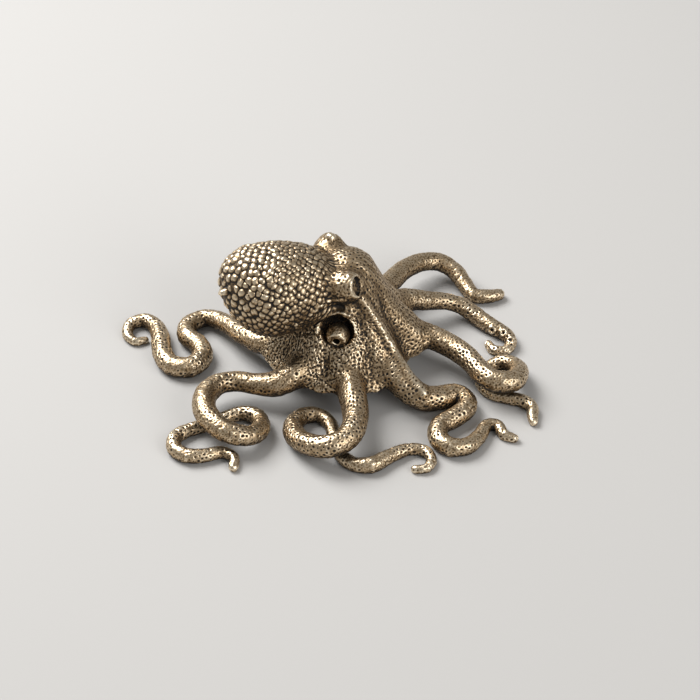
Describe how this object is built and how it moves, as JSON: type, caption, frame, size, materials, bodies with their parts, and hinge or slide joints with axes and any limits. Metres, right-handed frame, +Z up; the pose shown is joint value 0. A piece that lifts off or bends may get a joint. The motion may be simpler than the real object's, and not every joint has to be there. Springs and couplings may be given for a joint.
{
  "type": "octopus figurine",
  "caption": "Solid brass octopus ornament that rests on its curled arms, with a pebbled egg-shaped mantle held out behind the head and two raised eyes.",
  "frame": {"origin": "middle of the figurine's box, on the table that its arms rest on", "axes": "+X from the mantle's blunt tip towards the arms on the far side of the head, along the longest extent; +Y away from the viewer of the picture; +Z up from the table"},
  "size_m": [0.0598, 0.0447, 0.0217],
  "materials": {
    "brass": "antique: dark patina in the recesses, rubbed bright on the high places"
  },
  "bodies": {
    "root": {"mantle": "brass", "head_and_web": "brass", "siphon": "brass", "left_eye": "brass", "right_eye": "brass", "arm_left": "brass", "arm_front_left": "brass", "arm_front": "brass", "arm_front_right": "brass", "arm_right": "brass", "arm_back_right": "brass", "arm_back": "brass", "arm_back_left": "brass"}
  },
  "joints": []
}
